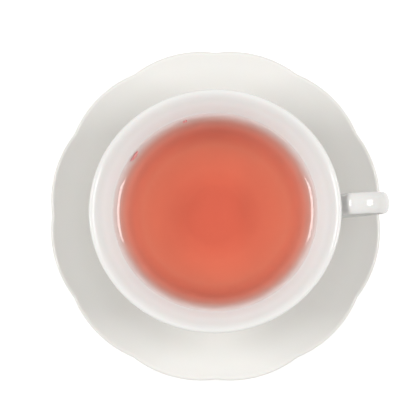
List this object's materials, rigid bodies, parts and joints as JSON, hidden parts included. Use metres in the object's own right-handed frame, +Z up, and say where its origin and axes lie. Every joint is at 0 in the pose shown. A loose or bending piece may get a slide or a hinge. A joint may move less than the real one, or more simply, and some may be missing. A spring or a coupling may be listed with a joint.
{
  "type": "cup of tea",
  "caption": "Low flared porcelain cup with an ear-shaped strap handle, filled with clear red tea, standing in the well of a saucer with a scalloped edge.",
  "frame": {"origin": "on the saucer's axis, on the plane that its foot ring stands on", "axes": "+Z up; +X close to the direction in which the handle points, through a notch of the saucer's edge"},
  "size_m": [0.1507, 0.1494, 0.0622],
  "materials": {
    "porcelain_saucer": "white glazed porcelain, glossy",
    "porcelain_cup": "white glazed porcelain, glossy",
    "tea": "clear red tea with a still, mirror-smooth surface"
  },
  "bodies": {
    "root": {"saucer": "porcelain_saucer", "cup": "porcelain_cup", "tea": "tea"}
  },
  "joints": []
}
